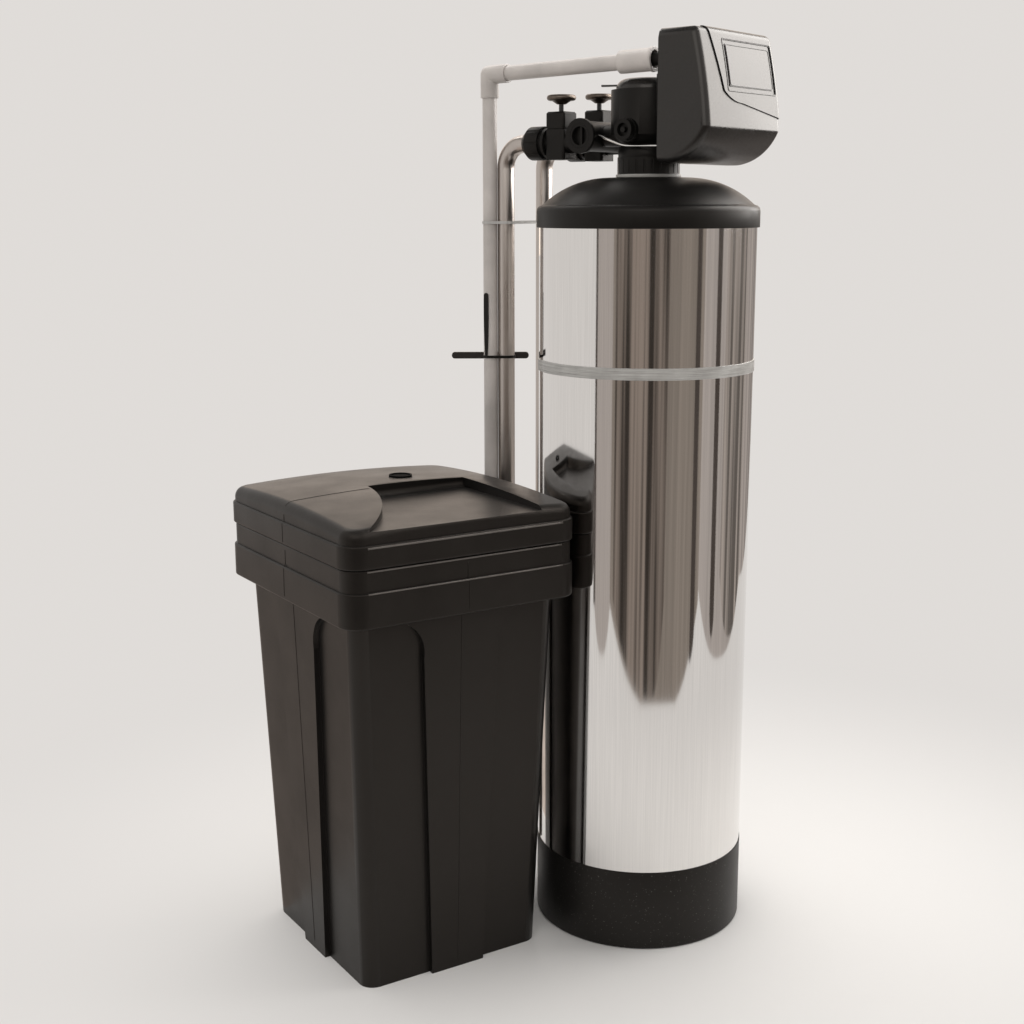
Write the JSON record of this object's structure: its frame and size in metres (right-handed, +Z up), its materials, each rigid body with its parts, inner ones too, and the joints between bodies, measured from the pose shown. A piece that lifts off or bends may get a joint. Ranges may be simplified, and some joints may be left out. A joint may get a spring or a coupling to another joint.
{
  "type": "water softener",
  "caption": "Water softener: polished mineral tank with a metered valve head, bypass and pipes, beside a square lidded brine tank.",
  "frame": {"origin": "on the floor at the axis of the round mineral tank", "axes": "+Z up, X and Y along the sides of the square brine tank, whose front faces -Y"},
  "size_m": [0.6783, 0.5211, 1.2998],
  "materials": {
    "black_plastic": "fine moulded grain",
    "satin_black": "satin",
    "polished_steel": "mirror polished sheet",
    "clear_film": "fibrous translucent",
    "fibre_vessel": "resin wound fibre",
    "grey_ring": "moulded",
    "white_plastic": "moulded",
    "resin_beads": "wet beads",
    "gravel": "rough",
    "grey_plastic": "moulded",
    "seal_rubber": "smooth",
    "piston_plastic": "smooth",
    "gear_plastic": "smooth",
    "motor_steel": "plated",
    "board_green": "coated board",
    "screw_steel": "plated",
    "wire_steel": "bright wire",
    "pipe_metal": "polished",
    "drain_plastic": "smooth",
    "tie_plastic": "smooth",
    "brace_steel": "dark",
    "brine_black": "fine moulded grain",
    "wheel_metal": "satin"
  },
  "bodies": {
    "unit": {"mineral_tank": "fibre_vessel", "tank_boot": "black_plastic", "tank_jacket": "polished_steel", "dome_cap": "black_plastic", "tank_strap": "clear_film", "riser_tube": "white_plastic", "bottom_basket": "white_plastic", "top_basket": "white_plastic", "gravel_bed": "gravel", "resin_bed": "resin_beads", "neck_ring": "grey_ring", "tank_adapter": "black_plastic", "brine_tank": "brine_black", "brine_well": "white_plastic", "brine_valve": "grey_plastic", "salt_grid": "grey_plastic", "overflow_elbow": "black_plastic", "valve_body": "black_plastic", "valve_cap": "satin_black", "seal_rings": "seal_rubber", "seal_spacers": "grey_plastic", "bore_plug": "grey_plastic", "injector_cap": "black_plastic", "injector_throat": "white_plastic", "brine_elbow": "black_plastic", "drive_motor": "motor_steel", "drive_bracket": "grey_plastic", "circuit_board": "board_green", "head_cover": "satin_black", "cover_panel": "satin_black", "back_plate": "black_plastic", "plate_screws": "screw_steel", "bypass_body": "black_plastic", "bypass_end_plugs": "black_plastic", "bypass_bonnets": "black_plastic", "union_nuts": "black_plastic", "bypass_clips": "wire_steel", "inlet_pipe": "pipe_metal", "outlet_pipe": "pipe_metal", "drain_coupling": "drain_plastic", "drain_pipe_upper": "drain_plastic", "drain_elbow": "drain_plastic", "drain_pipe_lower": "drain_plastic", "drain_fitting": "black_plastic", "upper_pipe_tie": "tie_plastic", "lower_pipe_tie": "black_plastic", "pipe_brace": "brace_steel"},
    "lid": {"brine_lid": "brine_black", "lid_plug": "black_plastic"},
    "well_cap": {"brine_well_cap": "black_plastic"},
    "float": {"brine_float": "white_plastic"},
    "near_disc": {"near_valve_disc": "seal_rubber"},
    "far_disc": {"far_valve_disc": "seal_rubber"},
    "near_wheel": {"near_handwheel": "wheel_metal"},
    "far_wheel": {"far_handwheel": "wheel_metal"},
    "main_gear": {"drive_gear": "gear_plastic"},
    "idler": {"idler_gear": "gear_plastic"},
    "pinion": {"motor_pinion": "gear_plastic"},
    "piston_rod": {"piston": "piston_plastic"},
    "turbine": {"meter_turbine": "white_plastic"}
  },
  "joints": [
    {"name": "lid_lift", "type": "slide", "parent": "unit", "child": "lid", "axis": [0, 0, 1], "range_m": [0, 0.16]},
    {"name": "well_cap_lift", "type": "slide", "parent": "unit", "child": "well_cap", "axis": [0, 0, 1], "range_m": [0, 0.04]},
    {"name": "float_slide", "type": "slide", "parent": "unit", "child": "float", "axis": [0, 0, 1], "range_m": [0, 0.35]},
    {"name": "near_disc_lift", "type": "slide", "parent": "unit", "child": "near_disc", "axis": [0, 0, 1], "range_m": [0, 0.008]},
    {"name": "near_wheel_turn", "type": "hinge", "parent": "near_disc", "child": "near_wheel", "pos_m": [-0.08235, 0.0989, 1.2205], "axis": [0, 0, 1], "range_deg": [0, 1441]},
    {"name": "far_disc_lift", "type": "slide", "parent": "unit", "child": "far_disc", "axis": [0, 0, 1], "range_m": [0, 0.008]},
    {"name": "far_wheel_turn", "type": "hinge", "parent": "far_disc", "child": "far_wheel", "pos_m": [0.0058, 0.12856, 1.2265], "axis": [0, 0, 1], "range_deg": [0, 1441]},
    {"name": "gear_spin", "type": "hinge", "parent": "unit", "child": "main_gear", "pos_m": [0.02552, -0.07582, 1.19], "axis": [-0.319, 0.9478, 0], "range_deg": [0, 720]},
    {"name": "idler_spin", "type": "hinge", "parent": "unit", "child": "idler", "pos_m": [0.05752, -0.06505, 1.22376], "axis": [-0.319, 0.9478, 0], "range_deg": [-3841, 1]},
    {"name": "pinion_spin", "type": "hinge", "parent": "unit", "child": "pinion", "pos_m": [0.08273, -0.06817, 1.21973], "axis": [-0.319, 0.9478, 0], "range_deg": [-1, 13825]},
    {"name": "piston_stroke", "type": "slide", "parent": "unit", "child": "piston_rod", "axis": [0.319, -0.9478, 0], "range_m": [0, 0.0241]},
    {"name": "turbine_spin", "type": "hinge", "parent": "unit", "child": "turbine", "pos_m": [0.00999, 0.04557, 1.166], "axis": [-0.319, 0.9478, 0], "continuous": true}
  ],
  "couplings": [
    {"joint": "near_wheel_turn", "follows": "near_disc_lift", "rad_per_m": 3141.6},
    {"joint": "far_wheel_turn", "follows": "far_disc_lift", "rad_per_m": 3141.6},
    {"joint": "idler_spin", "follows": "gear_spin", "ratio": -5.3333},
    {"joint": "pinion_spin", "follows": "gear_spin", "ratio": 19.2},
    {"joint": "piston_stroke", "follows": "gear_spin", "m_per_rad": 0.0019099}
  ]
}
